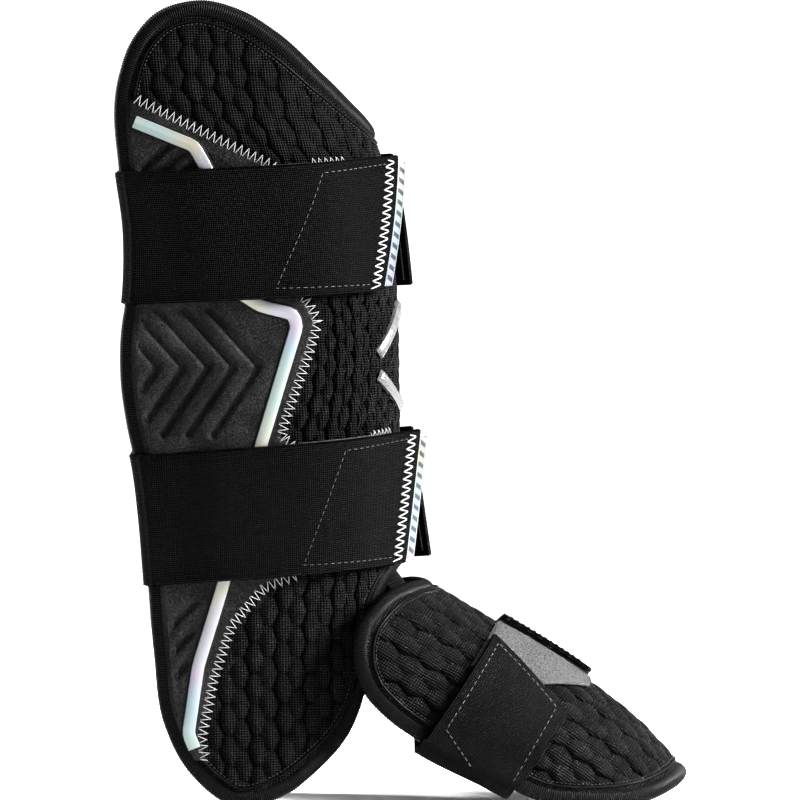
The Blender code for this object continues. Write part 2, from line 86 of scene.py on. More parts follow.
TAPE_RIB = 1.12
TAPE_SIDES = 18
TAPE_FLATNESS = 0.82
FOLD_INSET = 1.1
FOLD_RADIUS = 0.62
EDGE_STITCH_INSET = 2.5
SEAM = [
    (-131, 351), (-61, 317), (-53, 258), (-46, 251), (-41, 241), (-45, 227), (-58, 190), (-59, 184),
    (-52, 178), (-38, 165), (-38, 128), (-52, 115), (-68, 109), (-84, 90), (-93, 63), (-99, 33), (-97, 22),
]
STRIPE = [
    (-131, 340), (-101.5, 328), (-94, 314), (-80, 256), (-69, 249), (-53, 245), (-51, 239), (-69, 179),
    (-88, 109), (-100, 70), (-105, 36), (-102, 28.5),
]
STRIPE_WIDTH = 6.2
STRIPE_STEP = 2.0
PANEL_INSET = 6.6
PANEL_Z = (22.5, 350.5)
PANEL_RISE = 0.45
PANEL_THICKNESS = 3.4
GROOVES = [[(x, 247), (x + 25, 219), (x + 2, 185)] for x in (-95, -107.5, -120, -132.5, -145)]
GROOVES += [[(-102 - 2 * k, 101 - 15 * k), (-118, 86 - 15 * k)] for k in range(3)]
GROOVES += [[(8 * k - 112, 331 - 4 * k), (6 * k - 128, 316 - 4 * k)] for k in range(3)]
GROOVE_WIDTH = 1.7
GROOVE_DEPTH = 2.4
THIN_STITCH = 0.25
BADGE_FRONT = 6.0
BADGE_TOP = 252.0
BADGE_SIDE = (34.0, 219.0)
BADGE_BOTTOM = 192.0
BADGE_WIDTH = 6.0
FIBRES = 1400
STRAP_WIDTH = 64.0
HALF_STRAP = STRAP_WIDTH / 2
STRAP_THICKNESS = 2.0
STRAPS = {
    "upper": {
        "front_z": 290.0, "rear_z": 282.0, "lift": 47.8,
        "landing": (46.0, 66.0), "near_end": (14.5, 35.0), "far_end": (18.0, 16.0),
    },
    "lower": {
        "front_z": 154.5, "rear_z": 141.5, "lift": 43.0,
        "landing": (24.0, 42.0), "near_end": (12.0, 25.0), "far_end": (17.0, 8.0),
    },
}
STRAP_REAR_Q = 168.0
# Zigzag stitches as (width, pitch).
SEAM_ZIGZAG = (6.2, 3.7)
END_ZIGZAG = (6.8, 3.5)
LANDING_ZIGZAG = (4.0, 3.0)
ZIGZAG_DIP = 0.8
# The label's section, as (distance behind the strap's end, height).
LABEL_FOLD = [
    (0.3, 0.95), (-3.0, 1.0), (-5.2, 0.85), (-6.0, 0.0), (-5.2, -0.85), (-3.0, -1.0), (0.3, -0.95),
]
# Where a strap's free end begins, and how far on its cloth bends when it opens.
PEEL_AT = 146.0
PEEL_BEND = 22.0
PATCH_RISE = 1.3
TAB_RISE = 3.2
BAND_RISE = 1.2
BAND_SNUG = 1.6
FOOT_ORIGIN = (15.0, 110.0)
FOOT_SLOPE = math.radians(34.57)
FOOT_ARC = 77.0
FOOT_RIDGE = [(-25, -2), (8, 0), (40, 2), (75, 4), (100, 4), (130, 1.5), (146, -2), (165, -6)]
FOOT_HALF_WIDTH = [(-25, 59), (10, 58), (50, 54), (100, 49), (135, 43), (165, 37)]
FOOT_DROP = [(-25, 49), (60, 49), (110, 47), (165, 42)]
FOOT_EDGE = [
    (0, -5), (22, -11.5), (34, -16), (46, -18.5), (60, -19), (76, -13), (89, 1), (95, 20), (96.5, 38),
    (95, 75), (90, 110), (75, 133.5), (53, 151.5), (30, 159.5), (0, 162),
]
HEEL_CORNER = (80, -9)
TOE_CORNER = (75, 133.5)
FOOT_STRAP_T = (41.0, 92.0)
FOOT_STRAP_END = {"near": (29.0, 48.0), "far": (-4.0, 4.0)}
FOOT_PEEL_AT = 80.0
FOOT_PEEL_BEND = 16.0
CONNECTOR_Q = 34.0
HINGE_BEND = [(-11.0, 0.0, 122.0), (8.0, 0.0, 100.0)]
# The stage, in metres.
FLOOR = 1.3
CAMERA_AWAY = 5.0


def hermite(knots, values, at):
    slope = np.gradient(values, knots, axis=0)
    i = np.clip(np.searchsorted(knots, at, side="right") - 1, 0, len(knots) - 2)
    span = knots[i + 1] - knots[i]
    u = (at - knots[i]) / span
    if values.ndim > 1:
        u, span = u[..., None], span[..., None]
    return (
        (2 * u**3 - 3 * u**2 + 1) * values[i]
        + (u**3 - 2 * u**2 + u) * span * slope[i]
        + (3 * u**2 - 2 * u**3) * values[i + 1]
        + (u**3 - u**2) * span * slope[i + 1]
    )


def table(values, x):
    values = np.array(values, float)
    return hermite(values[:, 0], values[:, 1], np.clip(x, values[0, 0], values[-1, 0]))


def distances(path):
    """Distance along a path at each of its points."""
    return np.concatenate([[0], np.cumsum(np.linalg.norm(np.diff(path, axis=0), axis=1))])


def even(path, count):
    along = distances(path)
    at = np.linspace(0, along[-1], count)
    return pairs(*(np.interp(at, along, column) for column in path.T))


def pairs(*columns):
    """Columns side by side in a last axis, after spreading them to one shape."""
    return np.stack(np.broadcast_arrays(*columns), axis=-1)


def unit(vectors):
    return vectors / np.linalg.norm(vectors, axis=-1, keepdims=True)


def square_to(ahead):
    """Unit vectors square to flat ones, on their left."""
    ahead = unit(ahead)
    return pairs(-ahead[:, 1], ahead[:, 0])


def half_outline(points, count):
    """A smooth half outline whose mirrored other half meets it square to the middle line."""
    points = np.array(points, float)
    points = np.vstack([points[2:0:-1] * MIRROR, points, points[-2:-4:-1] * MIRROR])
    chord = distances(points)
    return even(hermite(chord, points, np.linspace(chord[2], chord[-3], 2400)), count)


def spread(*values):
    """Numbers and arrays as arrays of one shape."""
    return np.broadcast_arrays(*(np.asarray(value, float) for value in values))


def leg_surface(q, z):
    """Points of the leg wall: q is the way round it from the front, z the height."""
    q, z = spread(q, z)
    middle = table(FRONT_X, z) - NOSE_DEPTH
    along = np.abs(q)
    angle = np.minimum(along / NOSE_ARC, 1) * math.pi / 2
    back = np.maximum(along - NOSE_ARC, 0)
    x = middle + NOSE_DEPTH * np.cos(angle) - back
    taper = 1 - ARM_TAPER * (back / ARM_LENGTH) ** 2
    return pairs(x, -np.sign(q) * table(HALF_WIDTH, z) * np.sin(angle) * taper, z)


def foot_surface(p, t):
    """Points of the instep wall: p is the way round it, t the way down to the toe."""
    p, t = spread(p, t)
    along = np.abs(p)
    angle = np.minimum(along / FOOT_ARC, 1) * math.pi / 2
    down = np.maximum(along - FOOT_ARC, 0)
    h = table(FOOT_RIDGE, t) - table(FOOT_DROP, t) * (1 - np.cos(angle)) - down
    x = FOOT_ORIGIN[0] + t * math.cos(FOOT_SLOPE) + h * math.sin(FOOT_SLOPE)
    z = FOOT_ORIGIN[1] - t * math.sin(FOOT_SLOPE) + h * math.cos(FOOT_SLOPE)
    return pairs(x, -np.sign(p) * table(FOOT_HALF_WIDTH, t) * np.sin(angle), z)


# Each guard's wall, its outline, the corners at the ends of its back edge, and its pad's CAD node.
GUARDS = {
    "leg": (leg_surface, LEG_EDGE, (REAR_TOP, REAR_BOTTOM), "leg_front_pad"),
    "foot": (foot_surface, FOOT_EDGE, (HEEL_CORNER, TOE_CORNER), "foot_pad"),
}


def outward(surface, a, b):
    step = 0.5
    across = surface(a + step, b) - surface(a - step, b)
    up = surface(a, b + step) - surface(a, b - step)
    return unit(np.cross(up, across) * (1 if surface is leg_surface else -1))


def raised(surface, a, b, rise):
    a, b, rise = spread(a, b, rise)
    return surface(a, b) + outward(surface, a, b) * rise[..., None]


def side_to_wall(x, z):
    """The way round the leg wall to a point of its side view."""
    middle = table(FRONT_X, z) - NOSE_DEPTH
    nose = np.arccos(np.clip((x - middle) / NOSE_DEPTH, 0, 1)) / (math.pi / 2) * NOSE_ARC
    return np.where(x > middle, nose, NOSE_ARC + middle - x)


def edge_path(edge, inset, count):
    path = half_outline(edge, 1800)
    inset = inset * (-1 if edge is LEG_EDGE else 1)
    path = path + square_to(np.gradient(path, axis=0)) * inset
    path[0, 0] = path[-1, 0] = 0
    return even(path[path[:, 0] >= -1e-6], count)


def edge_at(places, edge, inset, least, low, high, count=900):
    """The way round a wall to its outline at that inset, at places along the wall."""
    path = edge_path(edge, inset, count)
    path = path[(path[:, 0] > least) & (path[:, 1] > low) & (path[:, 1] < high)]
    path = path[np.argsort(path[:, 1])]
    return np.interp(places, path[:, 1], path[:, 0])


def full_grid(guard, inset, across, up):
    """A grid over a whole wall, from the far side to the near one."""
    _, edge, corners, _ = GUARDS[guard]
    path = edge_path(edge, inset, 1800)
    cuts = [int(np.argmin(np.linalg.norm(path - np.array(corner), axis=1))) for corner in corners]
    first = even(path[: cuts[0] + 1], across + 1)
    outer = even(path[cuts[0] : cuts[1] + 1], up + 1)
    last = even(path[cuts[1] :][::-1], across + 1)
    middle = even(np.array([path[0], path[-1]]), up + 1)
    u = np.linspace(0, 1, across + 1)[:, None, None]
    v = np.linspace(0, 1, up + 1)[None, :, None]
    ends = (1 - u) * ((1 - v) * first[0] + v * last[0]) + u * ((1 - v) * first[-1] + v * last[-1])
    near = (1 - v) * first[:, None] + v * last[:, None] + (1 - u) * middle[None] + u * outer[None] - ends
    return np.concatenate([near[:0:-1] * MIRROR, near])


# ---- meshes


def link(thing):
    bpy.context.scene.collection.objects.link(thing)
    return thing


def grid_piece(name, points, flat, paint, out, keep=None, closed=False, cells=None):
    """A mesh over a grid of points in millimetres, facing along out; a closed one joins up both ways.

    flat holds each point's place on the flat cloth, in millimetres.
    """
    rows, columns = points.shape[:2]
    index = np.arange(rows * columns).reshape(rows, columns)
    if closed:
        index = np.pad(index, ((0, 1), (0, 1)), mode="wrap")
    quads = pairs(index[:-1, :-1], index[:-1, 1:], index[1:, 1:], index[1:, :-1]).reshape(-1, 4)
    corner = points.reshape(-1, 3)[quads]
    faces = np.cross(corner[:, 2] - corner[:, 0], corner[:, 3] - corner[:, 1])
    if (faces * np.broadcast_to(out, points.shape).reshape(-1, 3)[quads[:, 0]]).sum() < 0:
        quads = quads[:, ::-1]
    if keep is not None:
        quads = quads[keep.reshape(-1)[quads].all(axis=1)]
    used, quads = np.unique(quads, return_inverse=True)
    mesh = bpy.data.meshes.new(name)
    mesh.from_pydata((points.reshape(-1, 3)[used] * MM).tolist(), [], quads.reshape(-1, 4).tolist())
    for layer_name, places in (("flat", flat), ("cells", cells)):
        if places is not None:
            layer = mesh.uv_layers.new(name=layer_name)
            places = np.broadcast_to(places, (rows, columns, 2)).reshape(-1, 2)[used] / 10.0
            layer.data.foreach_set("uv", places[quads.ravel()].astype(np.float32).ravel())
    mesh.materials.append(paint)
    mesh.shade_smooth()
    return link(bpy.data.objects.new(name, mesh))


def thicken(piece, thickness, side=-1):
    """Give a skin its thickness, behind it unless side says otherwise."""
    solid = piece.modifiers.new("Thickness", "SOLIDIFY")
    solid.thickness = thickness * MM
    solid.offset = side
    graph = bpy.context.evaluated_depsgraph_get()
    mesh = bpy.data.meshes.new_from_object(piece.evaluated_get(graph))
    old = piece.data
    piece.modifiers.clear()
    piece.data = mesh
    bpy.data.meshes.remove(old)
    mesh.set_sharp_from_angle(angle=math.radians(50))


def place(piece, body, slot, nodes=()):
    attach(piece, body)
    if nodes:
        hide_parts(*nodes)
    return piece


def thread(name, lines, radius, paint, body, slot="strap_elastic"):
    """Thread along one or more lines of points, as one curve object."""
    data = bpy.data.curves.new(name, "CURVE")
    data.dimensions = "3D"
    data.bevel_depth = radius * MM
    data.bevel_resolution = 1
    data.use_fill_caps = True
    for line in lines:
        spline = data.splines.new("POLY")
        spline.points.add(len(line) - 1)
        flat = np.hstack([np.asarray(line) * MM, np.ones((len(line), 1))])
        spline.points.foreach_set("co", flat.astype(np.float32).ravel())
    data.materials.append(paint)
    return place(link(bpy.data.objects.new(name, data)), body, slot)


def zigzag(path, width, pitch):
    """Points of a zigzag stitch along a flat path."""
    count = max(int(round(distances(path)[-1] / (pitch / 2))), 4)
    line = even(path, count)
    swing = np.where(np.arange(count) % 2, 1, -1)[:, None] * width / 2
    return line + square_to(np.gradient(line, axis=0)) * swing


def crossing(points, dip, parts=4):
    """The straight runs of a stitch, arched over the cloth and dipping in at their holes."""
    low = -dip * np.linspace(-1, 1, parts, endpoint=False)[:, None] ** 4
    ends = zip(points[:-1], points[1:])
    return np.vstack([np.hstack([np.linspace(*run, parts, endpoint=False), low]) for run in ends])


def dashes(path, stitch, gap):
    """Short runs of a plain stitch along a flat path, with a height as their last number."""
    count = int(distances(path)[-1] // (stitch + gap))
    line = even(path, count * 10 + 1)
    part = max(int(round(10 * stitch / (stitch + gap))), 3)
    lift = 0.12 - 0.3 * np.abs(np.linspace(-1, 1, part + 1)) ** 3
    return [np.hstack([line[k * 10 : k * 10 + part + 1], lift[:, None]]) for k in range(count)]


def smooth(low, high, x):
    u = np.clip((x - low) / (high - low), 0, 1)
    return u * u * (3 - 2 * u)


def quilt(a, b, depth):
    """Depth of the quilting: rounded cells in columns one unit wide and two high.

    Each column is half a cell off the next. The groove between two of them is deep at every second column.
    """
    squeeze = 1 / math.sqrt(3)
    column = np.round(a)
    distance, owner = [], []
    for k in (column - 1, column, column + 1):
        shift = np.mod(k, 2)
        row = np.round((b - shift) / 2)
        for up in (-1, 0, 1):
            distance.append(np.hypot(a - k, (b - shift - (row + up) * 2) * squeeze))
            owner.append(k)
    distance, owner = np.stack(distance), np.stack(owner)
    order = np.argsort(distance, axis=0)[:2]
    near = np.take_along_axis(distance, order, axis=0)
    first, second = np.take_along_axis(owner, order, axis=0)
    paired = np.floor(first / 2) == np.floor(second / 2)
    groove = np.where(paired, FAINT_GROOVE, DEEP_GROOVE) * (1 - smooth(-0.05, 0.2, (near[1] - near[0]) / 2))
    return -depth * groove - DOME * depth * near[0] ** DOME_POWER


def edge_distance(grid, edge, inset):
    """How far each point of a flat grid lies inside the outline at that inset."""
    half = edge_path(edge, inset, 700)
    outline = np.vstack([half, half * MIRROR])
    tree = KDTree(len(outline))
    for k, point in enumerate(outline):
        tree.insert((*point, 0), k)
    tree.balance()
    return np.array([tree.find((*point, 0))[2] for point in grid.reshape(-1, 2)]).reshape(grid.shape[:2])


# ---- materials


class Paint:
    """A small helper to wire a node material."""

    def __init__(self, name, colour, roughness, metallic=0.0, specular=0.5):
        self.material = bpy.data.materials.new(name)
        self.material.use_nodes = True
        self.tree = self.material.node_tree
        self.shader = self.tree.nodes["Principled BSDF"]
        looks = {"Base Color": (*colour, 1), "Roughness": roughness, "Metallic": metallic}
        for socket, value in {**looks, "Specular IOR Level": specular}.items():
            self.shader.inputs[socket].default_value = value
        self.u, self.v = self.spread("flat")
        self.place = self.node("ShaderNodeTexCoord").outputs["Object"]

    def node(self, kind, **properties):
        made = self.tree.nodes.new(kind)
        for key, value in properties.items():
            setattr(made, key, value)
        return made

    def link(self, start, end):
        self.tree.links.new(start, end)

    def spread(self, layer):
        """Places on the flat cloth, in centimetres, or in the quilting's cells."""
        split = self.node("ShaderNodeSeparateXYZ")
        self.link(self.node("ShaderNodeUVMap", uv_map=layer).outputs[0], split.inputs[0])
        return split.outputs[0], split.outputs[1]

    def math(self, operation, a, b=0.0, c=0.0):
        made = self.node("ShaderNodeMath", operation=operation)
        for socket, value in zip(made.inputs, (a, b, c)):
            if isinstance(value, (int, float)):
                socket.default_value = value
            else:
                self.link(value, socket)
        return made.outputs[0]

    times = partialmethod(math, "MULTIPLY")
    plus = partialmethod(math, "ADD")
    minus = partialmethod(math, "SUBTRACT")
    scale = partialmethod(math, "MULTIPLY_ADD")

    def noise(self, scale, detail, rough=0.6):
        made = self.node("ShaderNodeTexNoise")
        made.inputs["Scale"].default_value = scale
        made.inputs["Detail"].default_value = detail
        made.inputs["Roughness"].default_value = rough
        self.link(self.place, made.inputs["Vector"])
        return made.outputs["Fac"]

    def ribs(self, along, pitch, phase=0.0):
        """A wave from 0 to 1 across the cloth, with its pitch in millimetres."""
        turn = self.scale(along, 10 * 2 * math.pi / pitch, phase)
        return self.scale(self.math("SINE", turn), 0.5, 0.5)

    def groove_and_shade(self):
        """1 along the grooves between the quilted cells, faint at every second one; it bumps the grooves
        and paints shade into them.
        """
        across, up = self.spread("cells")
        column = self.times(across, 2.0)
        across = self.math("PINGPONG", column, 1.0)
        up = self.math("PINGPONG", self.times(up, 2.0), 1.0)
        far_across = self.minus(1.0, across)
        first = self.reach(across, up)
        second = self.reach(far_across, self.minus(1.0, up))
        third = self.reach(across, self.minus(2.0, up))
        third = self.math("MINIMUM", third, self.reach(far_across, self.plus(1.0, up)))
        nearest = self.math("MINIMUM", first, second)
        other = self.math("MINIMUM", self.math("MAXIMUM", first, second), third)
        gap = self.math("DIVIDE", self.minus(other, nearest), 0.13)
        line = self.math("EXPONENT", self.times(self.times(gap, gap), -1.0))
        turn = self.math("SINE", self.times(column, math.pi))
        return self.times(line, self.scale(turn, -0.42, 0.5))

    def reach(self, across, up):
        """Distance in the quilting's cells, whose height is 1.73 of their width."""
        square = self.times(across, across)
        return self.math("SQRT", self.scale(self.times(up, up), 1 / 3, square))

    def ramp(self, value, stops):
        made = self.node("ShaderNodeValToRGB")
        ramp = made.color_ramp
        for _ in stops[2:]:
            ramp.elements.new(0.5)
        for element, (at, colour) in zip(ramp.elements, stops):
            element.position = at
            element.color = (*colour, 1)
        self.link(value, made.inputs[0])
        return made.outputs[0]

    def greys(self, value, *stops):
        """Colour from a value by (value, grey level) stops."""
        stops = [(at, grey(level)) for at, level in stops]
        self.link(self.ramp(value, stops), self.shader.inputs["Base Color"])

    def roughness(self, value, low, high):
        self.link(self.scale(value, high - low, low), self.shader.inputs["Roughness"])

    def bump(self, height, distance):
        """A bump in millimetres, on top of any earlier one."""
        made = self.node("ShaderNodeBump")
        made.inputs["Distance"].default_value = distance * MM
        self.link(height, made.inputs["Height"])
        normal = self.shader.inputs["Normal"]
        if normal.is_linked:
            self.link(normal.links[0].from_socket, made.inputs["Normal"])
        self.link(made.outputs[0], normal)


def grey(level):
    return (level, level, level)


def knit_paint():
    paint = Paint("knit_fabric", grey(0.012), 0.45, specular=0.035)
    wobble = paint.scale(paint.noise(90, 3), 0.12, -0.06)
    wale = paint.ribs(paint.plus(paint.u, wobble), 1.4)
    course = paint.ribs(paint.plus(paint.v, wobble), 1.25, 1.3)
    weave = paint.scale(wale, 0.45, paint.times(course, 0.55))
    groove_and_shade = paint.groove_and_shade()
    shade = paint.scale(weave, 0.75, paint.scale(paint.noise(160, 4), 0.5, -0.12))
    # Painted shade: the knit's colour is darkened along the quilting's grooves.
    shade = paint.times(shade, paint.scale(groove_and_shade, -0.4, 1.0))
    paint.greys(shade, (0.18, 0.0001), (0.45, 0.0014), (0.72, 0.012))
    paint.bump(groove_and_shade, -0.4)
    paint.bump(weave, 0.9)
    paint.bump(paint.noise(1100, 2), 0.12)
    return paint.material


def suede_paint():
    paint = Paint("suede_foam", grey(0.04), 0.6, specular=0.06)
    grain = paint.noise(1500, 3, 0.75)
    shade = paint.scale(grain, 0.75, paint.times(paint.noise(45, 3), 0.25))
    paint.greys(shade, (0.38, 0.0012), (0.5, 0.0055), (0.62, 0.026))
    paint.bump(grain, 0.25)
    paint.roughness(grain, 0.45, 0.7)
    return paint.material


def elastic_paint():
    paint = Paint("woven_elastic", grey(0.008), 0.5, specular=0.03)
    wobble = paint.scale(paint.noise(60, 2), 0.05, -0.025)
    warp = paint.ribs(paint.plus(paint.v, wobble), 1.0)
    weft = paint.ribs(paint.plus(paint.u, wobble), 0.95)
    cell = paint.times(paint.math("POWER", warp, 0.7), paint.scale(weft, 0.75, 0.25))
    shade = paint.times(cell, paint.scale(paint.noise(700, 2), 1.3, 0.2))
    paint.greys(shade, (0.1, 0.0001), (0.4, 0.0012), (0.85, 0.012))
    paint.bump(cell, 0.4)
    paint.bump(paint.noise(1500, 2), 0.08)
    return paint.material


def tape_paint(ribbed=True):
    paint = Paint("ribbed_tape" if ribbed else "rolled_edge", grey(0.03), 0.42, specular=0.05)
    fibre = paint.noise(1800, 2)
    shade = fibre
    if ribbed:
        # Painted light and shade: the tape's colour is darker in the valleys between its ribs and lighter
        # on their tops.
        painted_rib_shade = paint.math("POWER", paint.ribs(paint.u, TAPE_RIB, math.pi / 2), 0.8)
        shade = paint.times(fibre, paint.scale(painted_rib_shade, 1.15, 0.12))
    paint.greys(shade, (0.1, 0.0001), (0.35, 0.0015), (0.75, 0.0095 if ribbed else 0.0045))
    paint.bump(fibre, 0.08)
    return paint.material


def lining_paint():
    paint = Paint("brushed_lining", grey(0.03), 0.9, specular=0.05)
    dots = paint.times(paint.ribs(paint.u, 2.2), paint.ribs(paint.v, 2.2, 0.8))
    shade = paint.scale(dots, 0.5, paint.times(paint.noise(500, 3), 0.5))
    paint.greys(shade, (0.2, 0.01), (0.8, 0.045))
    paint.bump(dots, -0.35)
    paint.bump(paint.noise(1300, 3), 0.15)
    return paint.material


def pearl_paint(marks=False):
    name = "pearl_label" if marks else "pearl_film"
    paint = Paint(name, (0.4, 0.42, 0.45), 0.3, metallic=0.3, specular=0.3)
    sweep = paint.scale(paint.u, 0.11, paint.times(paint.noise(26, 3), 1.1))
    sweep = paint.math("FRACT", paint.scale(paint.v, 0.09, sweep))
    pastel = [
        (0.0, (0.125, 0.13, 0.137)), (0.2, (0.14, 0.12, 0.145)), (0.4, (0.108, 0.13, 0.15)),
        (0.6, (0.115, 0.14, 0.133)), (0.8, (0.145, 0.136, 0.113)), (1.0, (0.125, 0.13, 0.137)),
    ]
    level = 0.72 if marks else 1.0
    stops = [(at, tuple(level * part for part in colour)) for at, colour in pastel]
    tint = paint.ramp(sweep, stops)
    if marks:
        slant = paint.ribs(paint.scale(paint.v, 0.8, paint.u), 5.2)
        bar = paint.math("GREATER_THAN", slant, 0.62)
        middle = paint.math("LESS_THAN", paint.math("ABSOLUTE", paint.plus(paint.v, -0.27)), 0.15)
        mix = paint.node("ShaderNodeMix", data_type="RGBA")
        paint.link(paint.times(bar, middle), mix.inputs["Factor"])
        paint.link(tint, mix.inputs["A"])
        mix.inputs["B"].default_value = (0.02, 0.02, 0.025, 1)
        tint = mix.outputs["Result"]
    paint.link(tint, paint.shader.inputs["Base Color"])
    paint.bump(paint.noise(700, 2), 0.03)
    return paint.material


def hook_paint():
    paint = Paint("hook_tape", grey(0.02), 0.8, specular=0.1)
    cells = paint.node("ShaderNodeTexVoronoi")
    cells.inputs["Scale"].default_value = 900
    paint.link(paint.place, cells.inputs["Vector"])
    paint.greys(cells.outputs["Distance"], (0.1, 0.02), (0.6, 0.004))
    paint.bump(cells.outputs["Distance"], -0.5)
    return paint.material


def grained_paint(name, colour, roughness, grain, stops, bump=0.0, gloss=None, **look):
    """A material whose grey, and roughness if gloss is given, follow one fine grain."""
    paint = Paint(name, colour, roughness, **look)
    value = paint.noise(*grain)
    paint.greys(value, *stops)
    if gloss:
        paint.roughness(value, *gloss)
    if bump:
        paint.bump(value, bump)
    return paint.material


def thread_paint(name, level):
    stops = [(0.25, level * 0.6), (0.7, level)]
    return grained_paint(name, grey(level), 0.65, (1600, 2), stops, 0.08, specular=0.1)


KNIT = knit_paint()
SUEDE = suede_paint()
ELASTIC = elastic_paint()
TAPE = tape_paint()
CORD = tape_paint(ribbed=False)
LINING = lining_paint()
PEARL = pearl_paint()
LABEL = pearl_paint(marks=True)
WHITE_THREAD = thread_paint("white_thread", 0.19)
PALE_THREAD = thread_paint("pale_thread", 0.07)
GREY_THREAD = thread_paint("grey_thread", 0.03)
PILE_STOPS = [(0.36, 0.003), (0.5, 0.026), (0.66, 0.052)]
PILE = grained_paint("loop_pile", grey(0.2), 0.95, (1500, 4, 0.75), PILE_STOPS, 0.5, specular=0.1)
HOOK = hook_paint()
SHELL_STOPS = [(0.3, 0.012), (0.7, 0.028)]
SHELL = grained_paint("moulded_shell", grey(0.02), 0.5, (500, 4), SHELL_STOPS, 0.05, gloss=(0.4, 0.6))
SILVER_STOPS = [(0.3, 0.055), (0.7, 0.09)]
SILVER = {"metallic": 0.3, "specular": 0.3, "gloss": (0.22, 0.4)}
BADGE = grained_paint("badge_silver", (0.4, 0.41, 0.43), 0.3, (400, 3), SILVER_STOPS, **SILVER)
INK = thread_paint("black_edge", 0.004)

# ---- leg wall

# The quilting's cell height, column width and depth along the leg, as (Z, millimetres).
CELL_HEIGHT = [(-20, 15.4), (110, 15), (170, 13), (230, 12.4), (290, 13), (350, 14.4), (420, 14.4)]
CELL_WIDTH = [(-20, 6.9), (110, 6.9), (170, 6.1), (225, 5.3), (290, 6.3), (350, 7.7), (420, 7.7)]
FOOT_CELL = (8.2, 7.2)
FOOT_CELL_DEPTH = 1.8
CELL_DEPTH = [(-20, 1.7), (110, 1.8), (170, 2.1), (250, 2.1), (320, 1.5), (420, 1.2)]


def seam_at(z):
    """X of the seam in front of a side panel."""
    seam = np.array(SEAM[::-1], float)
    return np.interp(z, seam[:, 1], seam[:, 0])


def leg_pad():
    grid = full_grid("leg", PAD_INSET, 132, 270)
    q, z = grid[..., 0], grid[..., 1]
    ahead = np.where((z > 18) & (z < 354), leg_surface(q, z)[..., 0] - seam_at(z), 30.0)
    levels = np.linspace(-10, 420, 431)
    rows = np.cumsum(2 / table(CELL_HEIGHT, levels))
    cells = pairs(q / table(CELL_WIDTH, z), np.interp(z, levels, rows))
    depth = quilted("leg", grid, cells, table(CELL_DEPTH, z))
    near_seam = 1 - smooth(1.5, 8.5, ahead)
    depth = depth * (1 - near_seam) - 1.3 * near_seam - 0.9 * (1 - smooth(-2.5, 0.5, ahead))
    pad("leg", grid, cells, depth, ahead > -4.0)


def quilted(guard, grid, cells, depth):
    """Depth of the quilting over a pad, drawn in along its edge."""
    inside = edge_distance(grid, GUARDS[guard][1], PAD_INSET)
    depth = quilt(cells[..., 0], cells[..., 1], depth)
    return depth * smooth(0.5, 6.0, inside) - 1.2 * (1 - smooth(2.4, 5.5, inside))


def layer(name, guard, grid, rise, paint, thickness, slot, node, fill, side=1, facing=1, **extra):
    """A padded layer over a guard's wall, at places round and along it."""
    surface = GUARDS[guard][0]
    a, b = grid[..., 0] * side, grid[..., 1]
    out = outward(surface, a, b) * facing
    piece = grid_piece(name, raised(surface, a, b, rise), grid, paint, out, **extra)
    thicken(piece, thickness)
    place(piece, f"{guard}_guard", slot, [node])


def pad(guard, grid, cells, depth, keep=None):
    name, node = f"{guard}_pad_quilted", GUARDS[guard][3]
    look = {"keep": keep, "cells": cells * 5}
    layer(name, guard, grid, depth, KNIT, PAD_DEPTH - PAD_THINNED, "knit_pad", node, 0.9, **look)


def grooves(x, z):
    """Depth of a side panel's pressed arrowheads and slanted bars, from 0 to 1."""
    deep = np.zeros_like(x)
    for run in GROOVES:
        for (x0, z0), (x1, z1) in zip(run[:-1], run[1:]):
            dx, dz = x1 - x0, z1 - z0
            share = np.clip(((x - x0) * dx + (z - z0) * dz) / (dx * dx + dz * dz), 0, 1)
            off = np.hypot(x - x0 - share * dx, z - z0 - share * dz)
            deep = np.maximum(deep, np.exp(-((off / GROOVE_WIDTH) ** 2)))
    return deep


def side_panel(flank, side):
    z = np.linspace(*PANEL_Z, 264)
    seam_x = seam_at(z)
    q_seam = side_to_wall(seam_x, z)
    width = np.maximum(edge_at(z, LEG_EDGE, PANEL_INSET, 125, 8, 376, 1400) - q_seam, 1.0)
    q = q_seam + width * np.linspace(0, 1, 92)[:, None] ** 1.15
    q, z = spread(q, z)
    x = leg_surface(q, z)[..., 0]
    behind = (seam_x - x) / np.sqrt(1 + np.gradient(seam_x, z[0]) ** 2)
    inside = q[-1:] - q
    rise = PANEL_RISE - 1.7 * (1 - smooth(-0.2, 1.8, behind)) - 1.2 * (1 - smooth(0.6, 2.6, inside))
    rise = rise - GROOVE_DEPTH * grooves(x, z) * smooth(2.4, 6.5, inside)
    name, node = f"side_panel_moulded_{flank}", f"leg_side_panel_{flank}"
    layer(name, "leg", pairs(q, z), rise, SUEDE, PANEL_THICKNESS, "panel_foam", node, 1.0, side)


def ribbon(points, offsets, step):
    """Lines beside a bent line, mitred at its corners, with as many points each."""
    points = np.array(points, float)
    square = square_to(np.diff(points, axis=0))
    square = np.vstack([square[:1], square[:-1] + square[1:], square[-1:]])
    size = np.linalg.norm(square, axis=1)[:, None]
    size[1:-1] = size[1:-1] ** 2 / 2
    square = square / size
    counts = [max(int(np.linalg.norm(b - a) / step), 2) for a, b in zip(points[:-1], points[1:])]
    lines = []
    for offset in offsets:
        moved = points + square * offset
        parts = [np.linspace(moved[i], moved[i + 1], n, endpoint=False) for i, n in enumerate(counts)]
        lines.append(np.vstack([*parts, moved[-1:]]))
    return np.array(lines)


def round_corners(points, reach):
    """A bent line with each corner cut to a short arc of three points."""
    points = np.array(points, float)
    out = [points[0]]
    for before, at, after in zip(points[:-2], points[1:-1], points[2:]):
        back, on = before - at, after - at
        r = min(reach, 0.4 * np.linalg.norm(back), 0.4 * np.linalg.norm(on))
        start, end = at + unit(back) * r, at + unit(on) * r
        out += [start, (start + end) / 4 + at / 2, end]
    return np.array([*out, points[-1]])


